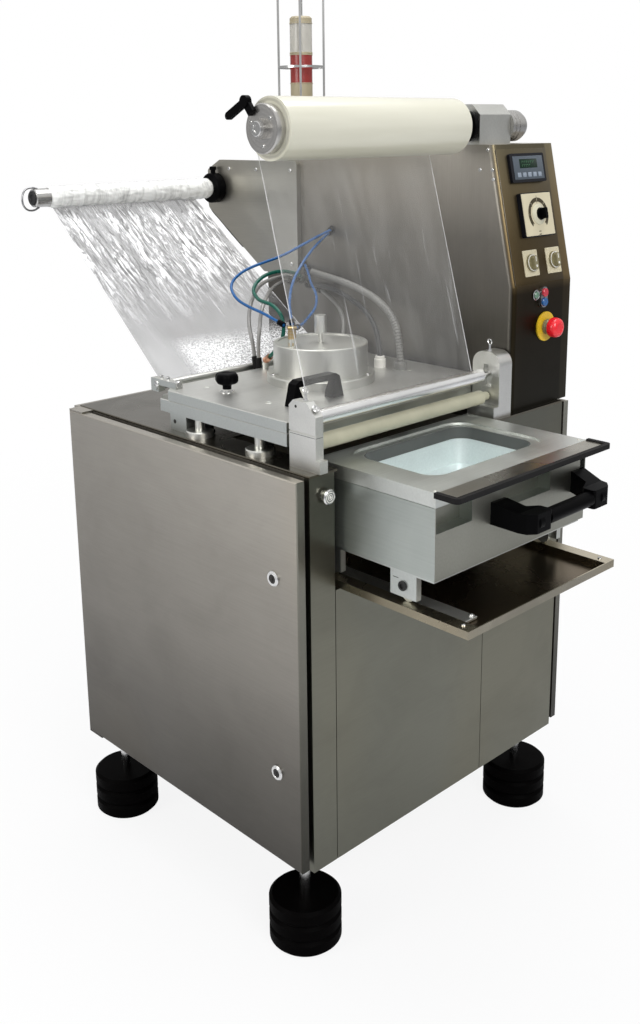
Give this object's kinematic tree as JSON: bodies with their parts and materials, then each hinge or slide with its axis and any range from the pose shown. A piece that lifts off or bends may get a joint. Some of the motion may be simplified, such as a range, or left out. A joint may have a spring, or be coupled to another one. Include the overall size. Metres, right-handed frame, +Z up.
{
  "type": "tray sealer",
  "caption": "Semi-automatic tray sealer: stainless cabinet on rubber feet with a pull-out mould drawer, heated sealing head, film reel, rewinder, control column and signal tower.",
  "frame": {"origin": "floor level, centre of the four feet", "axes": "+X operator's right, +Y to the back of the machine, +Z up"},
  "size_m": [0.8135, 1.232, 1.822],
  "materials": {
    "brushed_stainless": "brushed",
    "aluminium": "satin, anodised",
    "chrome": "polished",
    "black_rubber": "matt",
    "black_plastic": "satin",
    "grey_rubber": "matt",
    "brass": "satin",
    "cream_rubber": "satin",
    "grey_plastic": "satin",
    "cream_plastic": "satin",
    "olive_plastic": "satin",
    "red_plastic": "gloss",
    "blue_plastic": "gloss",
    "green_lens": "gloss",
    "yellow_plastic": "satin",
    "beige_plastic": "satin",
    "red_lens": "gloss",
    "clear_lens": "clear",
    "film": "clear film",
    "green_tube": "gloss",
    "clear_tube": "gloss",
    "film_roll": "wound film"
  },
  "bodies": {
    "machine": {"cabinet_body": "brushed_stainless", "worktop_sheet": "brushed_stainless", "front_panels": "brushed_stainless", "cover_seals": "black_rubber", "fixed_covers": "brushed_stainless", "post_knob": "chrome", "foot_stems": "chrome", "rubber_feet": "black_rubber", "runner_tray": "brushed_stainless", "head_lower_plate": "aluminium", "head_upper_plate": "aluminium", "head_studs": "brushed_stainless", "rear_blocks": "aluminium", "heater_housing": "aluminium", "head_fittings": "brass", "head_handle": "black_plastic", "roller_brackets": "aluminium", "control_column": "brushed_stainless", "display_unit": "grey_plastic", "control_plates": "cream_plastic", "green_lamp": "green_lens", "button_bezels": "chrome", "estop_disc": "yellow_plastic", "reel_bearing": "aluminium", "rewind_plate": "aluminium", "tower_base": "beige_plastic", "tower_red_lens": "red_lens", "tower_clear_lens": "clear_lens", "tower_guard": "chrome", "film_web": "film", "blue_hoses": "blue_plastic", "green_hose": "green_tube", "clear_hoses": "clear_tube", "dark_hoses": "grey_rubber"},
    "drawer": {"drawer_box": "aluminium", "mould_plate": "aluminium", "mould_gasket": "grey_rubber", "mould_insert": "aluminium", "rim_strip": "brushed_stainless", "rim_edging": "black_rubber", "drawer_handle": "black_plastic", "drawer_guides": "aluminium"},
    "side_door": {"left_door": "brushed_stainless", "door_locks": "chrome"},
    "upper_film_roller": {"upper_roller": "chrome"},
    "lower_film_roller": {"lower_roller": "cream_rubber"},
    "clamp_knob": {"star_knob": "black_plastic"},
    "dial": {"dial_knob": "black_plastic"},
    "switch_left": {"left_switch": "olive_plastic"},
    "switch_right": {"right_switch": "olive_plastic"},
    "start_button": {"red_button": "red_plastic"},
    "stop_button": {"blue_button": "blue_plastic"},
    "emergency_stop": {"estop_button": "red_plastic"},
    "film_reel": {"reel_shaft": "aluminium", "film_roll": "film_roll", "reel_collar": "black_plastic", "clamp_lever": "black_plastic"},
    "reel_brake": {"brake_knob": "aluminium"},
    "rewinder": {"rewind_shaft": "aluminium", "rewind_collar": "black_plastic"}
  },
  "joints": [
    {"name": "drawer_slide", "type": "slide", "parent": "machine", "child": "drawer", "axis": [0, 1, 0], "range_m": [0, 0.207]},
    {"name": "side_door_hinge", "type": "hinge", "parent": "machine", "child": "side_door", "pos_m": [-0.383, 0.34, 0.577], "axis": [0, 0, -1], "range_deg": [0, 110]},
    {"name": "upper_roller_spin", "type": "hinge", "parent": "machine", "child": "upper_film_roller", "pos_m": [0, -0.313, 1.037], "axis": [1, 0, 0], "range_deg": [-180, 180]},
    {"name": "lower_roller_spin", "type": "hinge", "parent": "machine", "child": "lower_film_roller", "pos_m": [0, -0.313, 0.993], "axis": [1, 0, 0], "range_deg": [-180, 180]},
    {"name": "star_knob_turn", "type": "hinge", "parent": "machine", "child": "clamp_knob", "pos_m": [-0.274, -0.03, 1.03], "axis": [0, 0, 1], "range_deg": [-180, 180]},
    {"name": "dial_turn", "type": "hinge", "parent": "machine", "child": "dial", "pos_m": [0.3, -0.30759, 1.33781], "axis": [0, -0.9767, 0.2147], "range_deg": [-135, 135]},
    {"name": "left_switch_turn", "type": "hinge", "parent": "machine", "child": "switch_left", "pos_m": [0.265, -0.32777, 1.246], "axis": [0, -0.9767, 0.2147], "range_deg": [-45, 45]},
    {"name": "right_switch_turn", "type": "hinge", "parent": "machine", "child": "switch_right", "pos_m": [0.341, -0.32777, 1.246], "axis": [0, -0.9767, 0.2147], "range_deg": [-45, 45]},
    {"name": "start_button_press", "type": "slide", "parent": "machine", "child": "start_button", "axis": [0, 1, 0], "range_m": [0, 0.003]},
    {"name": "stop_button_press", "type": "slide", "parent": "machine", "child": "stop_button", "axis": [0, 1, 0], "range_m": [0, 0.003]},
    {"name": "emergency_stop_press", "type": "slide", "parent": "machine", "child": "emergency_stop", "axis": [0, 1, 0], "range_m": [0, 0.005]},
    {"name": "film_reel_spin", "type": "hinge", "parent": "machine", "child": "film_reel", "pos_m": [0, -0.222, 1.512], "axis": [1, 0, 0], "range_deg": [-180, 180]},
    {"name": "reel_brake_turn", "type": "hinge", "parent": "machine", "child": "reel_brake", "pos_m": [0.3, -0.222, 1.512], "axis": [1, 0, 0], "range_deg": [-180, 180]},
    {"name": "rewinder_spin", "type": "hinge", "parent": "machine", "child": "rewinder", "pos_m": [0, 0.56, 1.37], "axis": [1, 0, 0], "range_deg": [-180, 180]}
  ]
}
